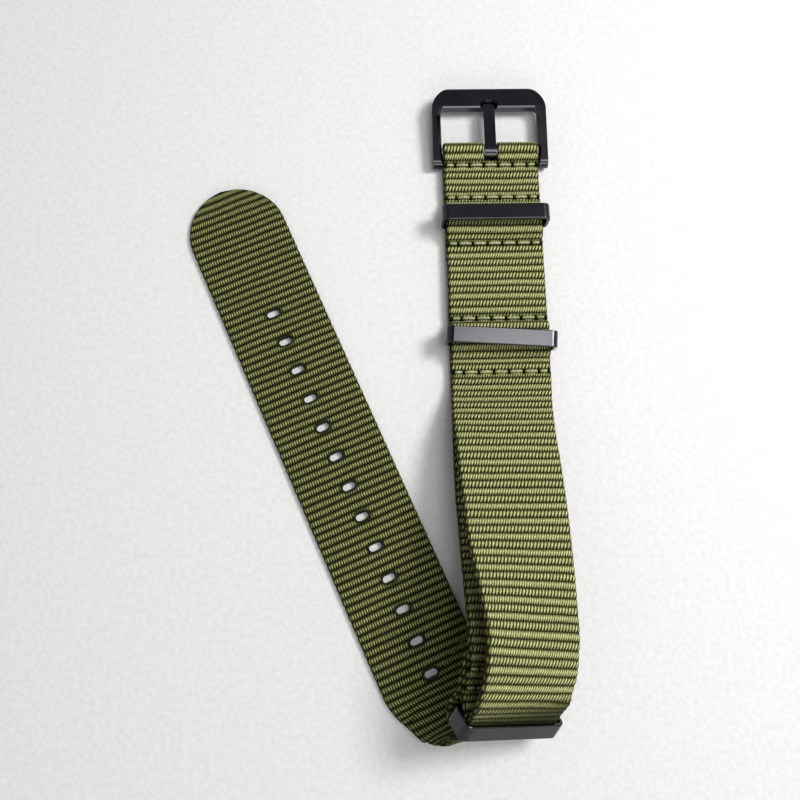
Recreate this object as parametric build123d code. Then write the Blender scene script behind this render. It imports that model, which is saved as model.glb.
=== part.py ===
from build123d import *
from math import acos, atan2, cos, degrees, hypot, radians, sin, tan
import os

os.makedirs("parts", exist_ok=True)

# The strap lies on a table at z = 0. X runs across the sewn leg, +Y runs towards the buckle, and the
# origin is on the table under the flat part of the keeper strap. Lengths in mm, angles in degrees.

# Webbing, the same for both straps
strap_width = 22.0
strap_thickness = 1.3
layer_gap = 0.1
mid_height = strap_thickness / 2
upper_mid_height = strap_thickness + layer_gap + mid_height
over_run = 1.0

# Spring bar
bar_y = 60.7
barrel_radius = 0.85
barrel_bore_radius = 0.62
barrel_mouth_radius = 0.46
barrel_end_gap = 2.0
barrel_wall_end = 0.5
barrel_clearance = 0.1
pin_tip_radius = 0.4
pin_neck_radius = 0.42
pin_head_radius = 0.57
pin_head_length = 1.6
pin_collar_radius = 0.7
pin_collar_length = 0.4
spring_wire_radius = 0.1
spring_radius = 0.4
spring_turns = 16
spring_clearance = 0.05
bar_height = strap_thickness + barrel_clearance + barrel_radius
bar_loop_radius = barrel_radius + barrel_clearance + mid_height

# Buckle frame
buckle_side_clearance = 0.2
buckle_leg_width = 2.0
buckle_front_reach = 15.2
buckle_front_depth = 5.0
buckle_leg_reach = 3.8
buckle_bottom = 0.1
buckle_front_bottom = 2.2
buckle_top = 4.4
buckle_leg_end_top = 3.3
buckle_corner_radius = 5.4
buckle_leg_end_radius = 1.4
buckle_inner_corner_radius = 0.9
buckle_lip = 0.4
buckle_edge_radius = 0.45
buckle_bevel_start = 3.1
buckle_front_bevel = 0.3
buckle_bevel_angle = 45.0
buckle_notch_clearance = 0.25
buckle_notch_floor = 3.25
buckle_notch_depth = 1.4
buckle_notch_corner_radius = 1.0
buckle_notch_flare = 25.0
pin_hole_clearance = 0.06
pin_hole_depth = 1.2
pin_tip_gap = 0.1

# Tongue
tongue_width = 2.6
tongue_thickness = 0.85
tongue_bar_clearance = 0.06
tongue_tip_gap = 0.2
tongue_tip_length = 2.2
tongue_tip_width = 1.8
tongue_tip_thickness = 0.45
tongue_notch_clearance = 0.05
tongue_slot_clearance = 0.35
tongue_slot_end_gap = 0.8
tongue_loop_gap = 0.15

# Keeper rings and end ring, all bent from the same strip
ring_side_clearance = 0.25
ring_inner_height = 4.5
ring_wall = 0.8
ring_band = 3.6
ring_corner_radius = 1.6
ring_inner_corner_radius = 0.5
ring_edge_radius = 0.2
upper_ring_y = 43.7
lower_ring_y = 15.6
lower_ring_yaw = -4.0
lower_ring_lean = 6.0
pocket_clearance = 0.45
pocket_end_gap = 1.1
pocket_ramp = 1.6

# Seams, each a lockstitch of a needle thread and a bobbin thread
buckle_seam_distance = 3.4
upper_seam_distances = [5.6, -5.5]
lower_seam_distances = [5.0, -7.2]
stitch_pitch = 3.3
shortest_stitch = 1.2
seam_margin = 0.6
thread_width = 0.5
thread_height = 0.36
thread_sink = 0.18
thread_leg_radius = 0.2
thread_hole_clearance = 0.05
thread_play = 0.02
bobbin_sink = thread_height
strap_end_margin = 3.6

# End ring pose and the keeper strap's loop round its lower bar
end_ring_x = -3.8
end_ring_y = -62.7
end_ring_height = 12.0
end_ring_yaw = -5.0
end_ring_roll = 32.0
end_ring_lean = 40.0
keeper_loop_clearance = 0.06
keeper_loop_lean = 25.0
keeper_loop_wrap = 40.0
keeper_fold_length = 10.8
keeper_seam_distances = [4.9, 8.5]
passing_clearance = 0.25
passing_entry_gap = 0.5
passing_exit_gap = 1.2
passing_exit_drop = 0.65

# Arch of the long strap from the last seam to the end ring
arch_height = 19.8
arch_foot_margin = 2.2
arch_drift = 1.2

# Tail, flat on the table
tail_swing = 22.73
hole_pitch = 7.0
hole_count = 13
hole_length = 3.1
hole_width = 1.7
first_hole_x = -49.8
first_hole_y = 23.0
tip_distance = 31.4
flat_before_last_hole = 1.0

# Rows of the arch: along the run, height, sideways drift, turn and roll, as shares of the run, of
# arch_height, of arch_drift, of tail_swing and of end_ring_roll
arch_shares = [
    (0.00, 0.103, 0.0, 0.00, 0.00),
    (0.04, 0.140, -0.2, 0.00, 0.03),
    (0.09, 0.225, -0.4, 0.00, 0.11),
    (0.17, 0.372, -0.5, 0.00, 0.21),
    (0.27, 0.500, -0.3, 0.00, 0.25),
    (0.37, 0.601, -0.1, 0.00, 0.29),
    (0.465, 0.692, 0.1, -0.03, 0.37),
    (0.565, 0.790, 0.4, -0.09, 0.55),
    (0.66, 0.893, 0.7, -0.17, 0.75),
    (0.755, 0.978, 0.9, -0.24, 0.88),
    (0.808, 1.000, 0.7, -0.28, 0.93),
    (0.858, 0.995, 0.4, -0.28, 0.96),
    (0.906, 0.960, -0.3, -0.26, 0.97),
    (0.948, 0.890, -1.1, -0.22, 0.98),
]

# Rows of the fold under the end ring: sideways towards the tail, beyond the ring, height, turn and
# roll, as shares of the way to the tail, of strap_width, of end_ring_height, of tail_swing and of roll
fold_shares = [
    (0.200, 0.076, 0.688, 0.08, 0.96),
    (0.314, 0.037, 0.528, 0.30, 0.86),
    (0.427, -0.035, 0.402, 0.66, 0.65),
    (0.541, -0.118, 0.300, 0.97, 0.37),
    (0.654, -0.185, 0.216, 1.05, 0.08),
    (0.775, -0.258, 0.136, 1.04, -0.14),
    (0.889, -0.326, 0.071, 1.00, -0.13),
]

# Rows of the keeper strap's rise to its loop: along the run, height, sideways, turn and roll, with the
# same meaning as in the arch
keeper_shares = [
    (0.20, 0.033, -0.1, 0.00, 0.00),
    (0.28, 0.042, -0.1, 0.00, 0.00),
    (0.37, 0.100, -0.1, 0.00, 0.03),
    (0.46, 0.220, -0.1, 0.00, 0.10),
    (0.55, 0.370, -0.2, 0.00, 0.22),
    (0.635, 0.510, -0.4, -0.02, 0.40),
    (0.72, 0.620, -0.8, -0.05, 0.62),
]

# Sizes that follow from the ones above
buckle_inner_width = strap_width + 2 * buckle_side_clearance
buckle_outer_width = buckle_inner_width + 2 * buckle_leg_width
buckle_front_y = bar_y + buckle_front_reach
buckle_window_y = buckle_front_y - buckle_front_depth
buckle_leg_end_y = bar_y - buckle_leg_reach
buckle_notch_width = tongue_width + 2 * buckle_notch_clearance
barrel_length = buckle_inner_width - 2 * barrel_end_gap
pin_collar_x = buckle_inner_width / 2 - pin_hole_clearance - pin_collar_length
pin_head_end_x = barrel_length / 2 - barrel_wall_end - spring_clearance
pin_head_start_x = pin_head_end_x - pin_head_length
tongue_tip_y = buckle_window_y + buckle_notch_depth - tongue_tip_gap
tongue_bore_radius = barrel_radius + tongue_bar_clearance
tongue_roll_radius = tongue_bore_radius + tongue_thickness
tongue_slot_reach = tongue_roll_radius + tongue_slot_end_gap
ring_inner_width = strap_width + 2 * ring_side_clearance
ring_outer_width = ring_inner_width + 2 * ring_wall
ring_outer_height = ring_inner_height + 2 * ring_wall
ring_bar_drop = (ring_inner_height + ring_wall) / 2
pocket_height = ring_wall + 2 * pocket_clearance
pocket_flat = ring_band / 2 + pocket_end_gap
keeper_loop_radius = hypot(ring_band, ring_wall) / 2 + mid_height + keeper_loop_clearance
passing_offset = ring_inner_height / 2 - mid_height - passing_clearance
passing_entry_reach = ring_band / 2 + passing_entry_gap
passing_exit_reach = ring_band / 2 + passing_exit_gap
seam_ys = [bar_y - buckle_seam_distance]
seam_ys += [upper_ring_y + distance for distance in upper_seam_distances]
seam_ys += [lower_ring_y + distance for distance in lower_seam_distances]
folded_end_y = seam_ys[2] - strap_end_margin
keeper_end_y = seam_ys[3] + strap_end_margin
arch_foot_y = seam_ys[4] - arch_foot_margin
seam_reach = strap_width / 2 - seam_margin
stitch_count = int(2 * (seam_reach - shortest_stitch) / stitch_pitch)

path_steps = 3
arc_step = 15.0

across_x = Vector(1, 0, 0)
axis_y = Vector(0, 1, 0)
axis_z = Vector(0, 0, 1)


def cross_direction(turn, roll):
    """Direction across the webbing, turned about Z and rolled with its left side up."""
    flat = cos(radians(roll))
    return Vector(flat * cos(radians(turn)), flat * sin(radians(turn)), -sin(radians(roll)))


def curve_point(before, start, end, after, share):
    """Point of a smooth curve through the rows start and end, value by value."""
    return [
        (2 * b + (c - a) * share + (2 * a - 5 * b + 4 * c - d) * share**2
         + (3 * b - a - 3 * c + d) * share**3) / 2
        for a, b, c, d in zip(before, start, end, after)
    ]


def smooth_path(rows):
    """Centres and cross directions of a smooth run through rows of x, y, z, turn and roll."""
    path = []
    for index in range(len(rows) - 1):
        before = rows[max(index - 1, 0)]
        after = rows[min(index + 2, len(rows) - 1)]
        for step in range(path_steps):
            share = step / path_steps
            x, y, z, turn, roll = curve_point(before, rows[index], rows[index + 1], after, share)
            path.append((Vector(x, y, z), cross_direction(turn, roll)))
    x, y, z, turn, roll = rows[-1]
    path.append((Vector(x, y, z), cross_direction(turn, roll)))
    return path


def arc_path(centre, radius, toward, up, first, last, across):
    """Centres round an arc from the angle first to last, counted from up towards toward."""
    count = max(2, round(abs(last - first) / arc_step))
    path = []
    for index in range(count + 1):
        angle = radians(first + (last - first) * index / count)
        path.append((centre + up * (radius * cos(angle)) + toward * (radius * sin(angle)), across))
    return path


def webbing(path):
    """Solid of webbing along a path of centres and cross directions."""
    sections = []
    for index, (centre, across) in enumerate(path):
        ahead = path[min(index + 1, len(path) - 1)][0]
        behind = path[max(index - 1, 0)][0]
        along = (ahead - behind).normalized()
        side = (across - along * across.dot(along)).normalized()
        face = along.cross(side)
        half_side = side * (strap_width / 2)
        half_face = face * (strap_thickness / 2)
        corners = [
            centre - half_side - half_face,
            centre + half_side - half_face,
            centre + half_side + half_face,
            centre - half_side + half_face,
        ]
        sections.append(Wire.make_polygon(corners, close=True))
    return Solid.make_loft(sections, ruled=True)


def level_rows(points):
    """Rows of an untwisted stretch on the centre line, from its y and z values."""
    return [(Vector(0, y, z), across_x) for y, z in points]


def pocket_rows(ring_y):
    """The upper layer's rise over a keeper ring's lower bar and its fall behind it."""
    raised = strap_thickness + pocket_height + mid_height
    return [
        (ring_y + pocket_flat + pocket_ramp, upper_mid_height),
        (ring_y + pocket_flat, raised),
        (ring_y - pocket_flat, raised),
        (ring_y - pocket_flat - pocket_ramp, upper_mid_height),
    ]


# End ring frame: along its bars, along its opening and out through its upper bar
end_ring_location = Location((end_ring_x, end_ring_y, end_ring_height)) * (
    Rotation(0, 0, end_ring_yaw) * Rotation(0, end_ring_roll, 0) * Rotation(end_ring_lean, 0, 0)
)
ring_centre = Vector(end_ring_x, end_ring_y, end_ring_height)
ring_across = (end_ring_location * Pos(1, 0, 0)).position - ring_centre
ring_along = (end_ring_location * Pos(0, 1, 0)).position - ring_centre
ring_up = (end_ring_location * Pos(0, 0, 1)).position - ring_centre
end_bar_centre = ring_centre - ring_up * ring_bar_drop
passing_point = ring_centre + ring_up * passing_offset

# Keeper strap frame at its loop: back along the strap and out of its upper face
loop_lean = radians(keeper_loop_lean)
loop_back = ring_along * cos(loop_lean) - ring_up * sin(loop_lean)
loop_up = ring_up * cos(loop_lean) + ring_along * sin(loop_lean)

# Tail frame
tail_along = Vector(sin(radians(tail_swing)), -cos(radians(tail_swing)), 0)
tail_across = Vector(cos(radians(tail_swing)), sin(radians(tail_swing)), 0)
first_hole = Vector(first_hole_x, first_hole_y, 0)
last_hole = first_hole + tail_along * (hole_pitch * (hole_count - 1))
tail_start = last_hole + tail_along * flat_before_last_hole
tail_round_centre = first_hole - tail_along * (tip_distance - strap_width / 2)


def run_row(along_share, height_share, drift_share, turn_share, roll_share):
    """Row of the arch or of the keeper strap's rise from its shares."""
    return (
        arch_drift * drift_share,
        arch_foot_y + (end_ring_y - arch_foot_y) * along_share,
        arch_height * height_share,
        tail_swing * turn_share,
        end_ring_roll * roll_share,
    )


def fold_row(side_share, beyond_share, height_share, turn_share, roll_share):
    """Row of the fold under the end ring from its shares."""
    return (
        passing_point.X + (tail_start.X - passing_point.X) * side_share,
        passing_point.Y - strap_width * beyond_share,
        end_ring_height * height_share,
        tail_swing * turn_share,
        end_ring_roll * roll_share,
    )


def passing_rows():
    """Rows where the long strap enters, passes and leaves the end ring."""
    spots = [
        passing_point + ring_along * passing_entry_reach,
        passing_point,
        passing_point - ring_along * passing_exit_reach - ring_up * passing_exit_drop,
    ]
    return [(spot.X, spot.Y, spot.Z, end_ring_yaw, end_ring_roll) for spot in spots]


def bar_loop():
    """The long strap's way round the spring bar, from its lower layer to its upper one."""
    foot_y = seam_ys[0] + thread_width
    run = bar_y - foot_y
    drop = bar_height - upper_mid_height
    leave = degrees(atan2(run, -drop)) - degrees(acos(bar_loop_radius / hypot(run, drop)))
    centre = Vector(0, bar_y, bar_height)
    arc = arc_path(centre, bar_loop_radius, -axis_y, axis_z, -180, leave, across_x)
    return arc + level_rows([(foot_y, upper_mid_height)])


def long_strap_path():
    path = level_rows([(folded_end_y, mid_height)]) + bar_loop()
    path += level_rows(pocket_rows(upper_ring_y) + pocket_rows(lower_ring_y))
    rows = [run_row(*shares) for shares in arch_shares] + passing_rows()
    rows += [fold_row(*shares) for shares in fold_shares]
    rows.append((tail_start.X, tail_start.Y, mid_height, tail_swing, 0))
    path += smooth_path(rows)
    path.append((tail_round_centre + axis_z * mid_height, tail_across))
    return path


def keeper_strap_path():
    rows = [run_row(*shares) for shares in keeper_shares]
    sewn = mid_height + layer_gap / 2
    start = end_bar_centre + loop_back * keeper_fold_length + loop_up * sewn
    turn = degrees(atan2(ring_across.Y, ring_across.X))
    rows.append((start.X, start.Y, start.Z, turn, end_ring_roll))
    path = smooth_path(rows)
    wrap = radians(keeper_loop_wrap)
    meet = keeper_loop_radius * sin(wrap) + (keeper_loop_radius * cos(wrap) - sewn) / tan(wrap)
    path.append((end_bar_centre + loop_back * meet + loop_up * sewn, ring_across))
    path += arc_path(
        end_bar_centre, keeper_loop_radius, -loop_back, loop_up,
        -keeper_loop_wrap, 180 + keeper_loop_wrap, ring_across
    )
    path.append((end_bar_centre + loop_back * meet - loop_up * sewn, ring_across))
    path.append((end_bar_centre + loop_back * keeper_fold_length - loop_up * sewn, ring_across))
    return path


def seam_locations():
    """Place of each seam's middle, between its two layers, with Z out of the upper face."""
    places = [Location((0, y, strap_thickness + layer_gap / 2)) for y in seam_ys]
    for distance in keeper_seam_distances:
        spot = end_bar_centre + loop_back * distance
        places.append(Plane(origin=spot, x_dir=ring_across, z_dir=loop_up).location)
    return places


def needle_hole_places():
    """Needle holes along a seam: even stitches, with a shorter one at each end."""
    places = [stitch_pitch * (index - stitch_count / 2) for index in range(stitch_count + 1)]
    return [-seam_reach] + places + [seam_reach]


def thread(side, sink, play):
    """Pieces of one thread of a seam, on its upper side (1) or its lower side (-1)."""
    outside = strap_thickness + layer_gap / 2 - sink
    places = needle_hole_places()
    leg = Cylinder(thread_leg_radius + play, outside + thread_play)
    pieces = [Pos(x, 0, side * (outside + thread_play) / 2) * leg for x in places]
    for start, end in zip(places, places[1:]):
        dash = Box(
            end - start + 2 * thread_leg_radius + 2 * play,
            thread_width + 2 * play,
            thread_height + 2 * play
        )
        pieces.append(Pos((start + end) / 2, 0, side * (outside + thread_height / 2)) * dash)
    return pieces


def seam_thread(location, side, sink):
    """A finished thread, its legs ending in the seam's middle plane."""
    pieces = thread(side, sink, 0)
    whole = pieces[0].fuse(*pieces[1:])
    half = Pos(0, 0, side * strap_width / 2) * Box(2 * strap_width, strap_width, strap_width)
    return location * (whole & half)


def seam_cut(location):
    """What a seam takes out of the webbing: its stitch channels and its needle holes."""
    cutters = thread(1, thread_sink, thread_hole_clearance)
    cutters += thread(-1, bobbin_sink, thread_hole_clearance)
    return [location * piece for piece in cutters]


def tail_cutters():
    """The strap holes, ovals set across the tail."""
    oval = extrude(SlotOverall(hole_length, hole_width), strap_thickness + 2 * over_run)
    cutters = []
    for index in range(hole_count):
        spot = first_hole + tail_along * (hole_pitch * index) - axis_z * over_run
        cutters.append(Location((spot.X, spot.Y, spot.Z), (0, 0, tail_swing)) * oval)
    return cutters


def round_tip():
    """Half disc that ends the tail."""
    disc = extrude(Circle(strap_width / 2), strap_thickness)
    half = disc & Pos(0, strap_width / 2, 0) * Box(2 * strap_width, strap_width, 2 * strap_width)
    return Location((tail_round_centre.X, tail_round_centre.Y, 0), (0, 0, tail_swing)) * half


def tongue_slot():
    """Cut in the fold that lets the tongue reach the spring bar."""
    length = tongue_slot_reach + bar_loop_radius + over_run
    block = Box(
        tongue_width + 2 * tongue_slot_clearance, length, 2 * (bar_height + over_run),
        align=(Align.CENTER, Align.MIN, Align.CENTER)
    )
    return Pos(0, bar_y - tongue_slot_reach, bar_height) * block


def long_strap(cutters):
    solid = webbing(long_strap_path()) + round_tip()
    return solid - ([tongue_slot()] + tail_cutters() + cutters)


def flat_stretch(first_y, last_y):
    """Straight webbing flat on the table."""
    block = Box(strap_width, first_y - last_y, strap_thickness)
    return Pos(0, (first_y + last_y) / 2, mid_height) * block


def keeper_strap(cutters):
    path = keeper_strap_path()
    flat = flat_stretch(keeper_end_y, path[0][0].Y)
    return webbing(path) + flat - cutters


def ring():
    """A flat ring bent from strip, its lower bar on the X axis and its opening along Y."""
    outer = RectangleRounded(ring_outer_width, ring_outer_height, ring_corner_radius)
    inner = RectangleRounded(ring_inner_width, ring_inner_height, ring_inner_corner_radius)
    band = extrude(Plane.XZ * (outer - inner), ring_band / 2, both=True)
    rims = band.faces().sort_by(Axis.Y)
    band = fillet(rims[0].edges() + rims[-1].edges(), ring_edge_radius)
    return Pos(0, 0, ring_bar_drop) * band


def keeper_ring(ring_y, yaw, tilt):
    """A keeper ring with its lower bar in the pocket between two layers of webbing."""
    bar_z = strap_thickness + pocket_height / 2
    return Pos(0, ring_y, bar_z) * Rotation(0, 0, yaw) * Rotation(tilt, 0, 0) * ring()


def end_ring():
    return end_ring_location * Pos(0, 0, -ring_bar_drop) * ring()


def buckle_plan():
    """Outline of the frame seen from above, open towards the strap."""
    length = buckle_front_y - buckle_leg_end_y
    outline = Pos(0, buckle_front_y - length / 2) * Rectangle(buckle_outer_width, length)
    outline = fillet(outline.vertices().group_by(Axis.Y)[-1], buckle_corner_radius)
    return outline - buckle_window(buckle_window_y)


def buckle_window(front_y):
    """Outline of the opening that the strap passes through, open towards the strap."""
    length = front_y - buckle_leg_end_y + over_run
    window = Pos(0, front_y - length / 2) * Rectangle(buckle_inner_width, length)
    return fillet(window.vertices().group_by(Axis.Y)[-1], buckle_inner_corner_radius)


def buckle_side():
    """Side view of the frame: raised front bar, legs that slope down to rounded ends."""
    outline = Polyline(
        (buckle_leg_end_y, buckle_bottom), (buckle_window_y, buckle_front_bottom),
        (buckle_front_y, buckle_front_bottom), (buckle_front_y, buckle_top),
        (buckle_window_y + buckle_lip, buckle_top), (buckle_leg_end_y, buckle_leg_end_top),
        (buckle_leg_end_y, buckle_bottom)
    )
    face = make_face(outline)
    ends = face.vertices().group_by(Axis.X)
    face = fillet(ends[0], buckle_leg_end_radius)
    front = face.vertices().group_by(Axis.X)[-1]
    return fillet(front, buckle_edge_radius * 2)


def buckle_frame():
    """Open frame: a broad front bar and two legs that hold the spring bar's tips."""
    plan = extrude(buckle_plan(), buckle_top + over_run)
    side_plane = Plane(origin=(0, 0, 0), x_dir=(0, 1, 0), z_dir=(1, 0, 0))
    frame = plan & extrude(side_plane * buckle_side(), buckle_outer_width, both=True)
    cut_depth = buckle_notch_depth + over_run
    notch = Pos(0, buckle_window_y - over_run + cut_depth / 2) * Rectangle(buckle_notch_width, cut_depth)
    notch = fillet(notch.vertices().group_by(Axis.Y)[-1], buckle_notch_corner_radius)
    notch = extrude(Pos(0, 0, buckle_notch_floor) * notch, buckle_top, taper=-buckle_notch_flare)
    reach = buckle_inner_width + 2 * (pin_hole_depth + pin_tip_gap)
    hole = Cylinder(pin_tip_radius + pin_hole_clearance, reach)
    bevel_height = buckle_top - buckle_bevel_start
    bevel_growth = bevel_height * tan(radians(buckle_bevel_angle))
    bevel = buckle_window(buckle_window_y + buckle_front_bevel - bevel_growth)
    bevel = extrude(Pos(0, 0, buckle_bevel_start) * bevel, bevel_height, taper=-buckle_bevel_angle)
    return frame - bevel - notch - lengthwise(hole)


def tongue():
    """Flat tongue, rolled round the spring bar and resting in the front bar's notch."""
    roll = Circle(tongue_roll_radius) - Circle(tongue_bore_radius)
    gap = Pos(0, -tongue_roll_radius / 2) * Rectangle(tongue_loop_gap, tongue_roll_radius)
    bottom = buckle_notch_floor + tongue_notch_clearance - bar_height
    tip = tongue_tip_y - bar_y
    arm = make_face(Polyline(
        (0, tongue_roll_radius), (tip - tongue_tip_length, tongue_roll_radius),
        (tip, bottom + tongue_tip_thickness), (tip, bottom), (tongue_bore_radius, bottom),
        (0, tongue_bore_radius), (0, tongue_roll_radius)
    ))
    side_plane = Plane(origin=(0, bar_y, bar_height), x_dir=(0, 1, 0), z_dir=(1, 0, 0))
    profile = roll - gap + (arm - Circle(tongue_bore_radius))
    bar = extrude(side_plane * profile, tongue_width / 2, both=True)
    shoulder = tip - tongue_tip_length
    half = tongue_width / 2
    plan = make_face(Polyline(
        (-half, -tongue_roll_radius), (half, -tongue_roll_radius), (half, shoulder),
        (tongue_tip_width / 2, tip), (-tongue_tip_width / 2, tip), (-half, shoulder),
        (-half, -tongue_roll_radius)
    ))
    return bar & Pos(0, bar_y, 0) * extrude(plan, 2 * buckle_top)


def lengthwise(solid, centre_x=0):
    """Lay a solid of revolution, made along Z, on the spring bar's axis."""
    return Pos(centre_x, bar_y, bar_height) * Rotation(0, 90, 0) * solid


def barrel():
    """Tube of the spring bar, its ends drawn in to hold the pins."""
    tube = Cylinder(barrel_radius, barrel_length)
    tube -= Cylinder(barrel_bore_radius, barrel_length - 2 * barrel_wall_end)
    return lengthwise(tube - Cylinder(barrel_mouth_radius, barrel_length + over_run))


def pin(side):
    """Sprung pin: head inside the barrel, neck through its mouth, collar and tip."""
    stages = [
        (pin_head_radius, pin_head_start_x, pin_head_end_x),
        (pin_neck_radius, pin_head_end_x, pin_collar_x),
        (pin_collar_radius, pin_collar_x, pin_collar_x + pin_collar_length),
        (pin_tip_radius, pin_collar_x + pin_collar_length, buckle_inner_width / 2 + pin_hole_depth),
    ]
    steps = [
        lengthwise(Cylinder(radius, high - low), side * (low + high) / 2)
        for radius, low, high in stages
    ]
    return steps[0].fuse(*steps[1:])


def spring():
    """Helical spring between the two pin heads."""
    length = 2 * (pin_head_start_x - spring_wire_radius - spring_clearance)
    helix = Helix(length / spring_turns, length, spring_radius)
    coil = sweep(Plane(origin=helix @ 0, z_dir=helix % 0) * Circle(spring_wire_radius), path=helix)
    return lengthwise(Pos(0, 0, -length / 2) * coil)


seam_names = [
    "buckle_end", "upper_ring_front", "upper_ring_back", "lower_ring_front", "lower_ring_back",
    "end_ring_near", "end_ring_far",
]
seams = list(zip(seam_names, seam_locations()))
long_strap_seams = seams[:5]
keeper_strap_seams = seams[3:]

nodes = {
    "long_strap": long_strap([cut for name, place in long_strap_seams for cut in seam_cut(place)]),
    "keeper_strap": keeper_strap([cut for name, place in keeper_strap_seams for cut in seam_cut(place)]),
    "buckle_frame": buckle_frame(),
    "buckle_tongue": tongue(),
    "spring_bar_barrel": barrel(),
    "spring_bar_spring": spring(),
    "spring_bar_pin_left": pin(-1),
    "spring_bar_pin_right": pin(1),
    "keeper_ring_upper": keeper_ring(upper_ring_y, 0, 0),
    "keeper_ring_lower": keeper_ring(lower_ring_y, lower_ring_yaw, lower_ring_lean),
    "strap_end_ring": end_ring(),
}
for name, place in seams:
    nodes["needle_thread_" + name] = seam_thread(place, 1, thread_sink)
    nodes["bobbin_thread_" + name] = seam_thread(place, -1, bobbin_sink)

for name, shape in nodes.items():
    export_step(shape, "parts/" + name + ".step")
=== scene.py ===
from math import acos, atan2, cos, degrees, exp, hypot, pi, radians, sin, sqrt, tan

import bmesh
import bpy
from mathutils import Euler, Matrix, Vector, noise


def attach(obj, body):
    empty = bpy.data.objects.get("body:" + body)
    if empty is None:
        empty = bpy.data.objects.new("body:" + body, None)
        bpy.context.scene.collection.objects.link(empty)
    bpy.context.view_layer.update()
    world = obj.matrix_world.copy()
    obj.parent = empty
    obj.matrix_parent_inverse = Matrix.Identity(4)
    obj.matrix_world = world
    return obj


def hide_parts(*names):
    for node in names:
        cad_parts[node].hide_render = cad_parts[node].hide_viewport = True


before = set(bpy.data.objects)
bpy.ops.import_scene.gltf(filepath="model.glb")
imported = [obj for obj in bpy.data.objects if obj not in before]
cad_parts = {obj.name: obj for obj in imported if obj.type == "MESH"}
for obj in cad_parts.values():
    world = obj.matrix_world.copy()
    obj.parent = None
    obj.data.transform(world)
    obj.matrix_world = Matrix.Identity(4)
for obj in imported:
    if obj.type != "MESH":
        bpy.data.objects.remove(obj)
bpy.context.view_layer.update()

# Lengths are in mm until a mesh is finished, angles in degrees.
MM = 0.001
# Points closer than this become one
WELD = 1e-4

# Webbing
STRAP_WIDTH = 22.0
STRAP_THICKNESS = 1.3
LAYER_GAP = 0.1
MID_HEIGHT = STRAP_THICKNESS / 2
UPPER_MID_HEIGHT = STRAP_THICKNESS + LAYER_GAP + MID_HEIGHT

# Spring bar loop, keeper rings and seams
BAR_Y = 60.7
BAR_HEIGHT = 2.25
BAR_LOOP_RADIUS = 1.6
FOLDED_END_Y = 34.6
KEEPER_END_Y = 24.2
UPPER_RING_Y = 43.7
LOWER_RING_Y = 15.6
POCKET_HEIGHT = 1.7
POCKET_FLAT = 2.9
POCKET_RAMP = 1.6
SEAM_YS = [57.3, 49.3, 38.2, 20.6, 8.4]
THREAD_WIDTH = 0.5
NEEDLE_HOLES = [-10.4, -8.25, -4.95, -1.65, 1.65, 4.95, 8.25, 10.4]

# End ring pose and the keeper strap's loop round it
END_RING = Vector((-3.8, -62.7, 12.0))
END_RING_YAW = -5.0
END_RING_ROLL = 32.0
END_RING_LEAN = 40.0
RING_BAR_DROP = 2.65
PASSING_OFFSET = 1.35
PASSING_ENTRY = 2.3
PASSING_EXIT = 3.0
PASSING_EXIT_DROP = 0.65
KEEPER_LOOP_RADIUS = 2.554
KEEPER_LOOP_LEAN = 25.0
KEEPER_LOOP_WRAP = 40.0
KEEPER_FOLD_LENGTH = 10.8
KEEPER_SEAM_DISTANCES = [4.9, 8.5]

# Arch and tail
ARCH_HEIGHT = 19.8
ARCH_FOOT_Y = 6.2
ARCH_DRIFT = 1.2
TAIL_SWING = 22.73
HOLE_PITCH = 7.0
HOLE_COUNT = 13
HOLE_LENGTH = 3.1
HOLE_WIDTH = 1.7
FIRST_HOLE = Vector((-49.8, 23.0, 0))
TIP_DISTANCE = 31.4
FLAT_BEFORE_LAST_HOLE = 1.0

# Half the straight run along a strap hole's side
HOLE_STRAIGHT = (HOLE_LENGTH - HOLE_WIDTH) / 2

# Slot for the tongue, which lies within the first part of the long strap's route
TONGUE_SLOT_Y = 58.14
TONGUE_SLOT_WIDTH = 3.3
TONGUE_SLOT_EASE = 0.1
TONGUE_SLOT_SEARCH = 0.3
TONGUE_SLOT_STEPS = 1000

# Rows along, height, drift, turn and roll of the arch
ARCH_SHARES = [
    (0.00, 0.103, 0.0, 0.00, 0.00),
    (0.04, 0.140, -0.2, 0.00, 0.03),
    (0.09, 0.225, -0.4, 0.00, 0.11),
    (0.17, 0.372, -0.5, 0.00, 0.21),
    (0.27, 0.500, -0.3, 0.00, 0.25),
    (0.37, 0.601, -0.1, 0.00, 0.29),
    (0.465, 0.692, 0.1, -0.03, 0.37),
    (0.565, 0.790, 0.4, -0.09, 0.55),
    (0.66, 0.893, 0.7, -0.17, 0.75),
    (0.755, 0.978, 0.9, -0.24, 0.88),
    (0.808, 1.000, 0.7, -0.28, 0.93),
    (0.858, 0.995, 0.4, -0.28, 0.96),
    (0.906, 0.960, -0.3, -0.26, 0.97),
    (0.948, 0.890, -1.1, -0.22, 0.98),
]

# Rows side, beyond, height, turn and roll of the fold under the end ring
FOLD_SHARES = [
    (0.200, 0.076, 0.688, 0.08, 0.96),
    (0.314, 0.037, 0.528, 0.30, 0.86),
    (0.427, -0.035, 0.402, 0.66, 0.65),
    (0.541, -0.118, 0.300, 0.97, 0.37),
    (0.654, -0.185, 0.216, 1.05, 0.08),
    (0.775, -0.258, 0.136, 1.04, -0.14),
    (0.889, -0.326, 0.071, 1.00, -0.13),
]

# Rows of the keeper strap's rise
KEEPER_SHARES = [
    (0.20, 0.033, -0.1, 0.00, 0.00),
    (0.28, 0.042, -0.1, 0.00, 0.00),
    (0.37, 0.100, -0.1, 0.00, 0.03),
    (0.46, 0.220, -0.1, 0.00, 0.10),
    (0.55, 0.370, -0.2, 0.00, 0.22),
    (0.635, 0.510, -0.4, -0.02, 0.40),
    (0.72, 0.620, -0.8, -0.05, 0.62),
]

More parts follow.
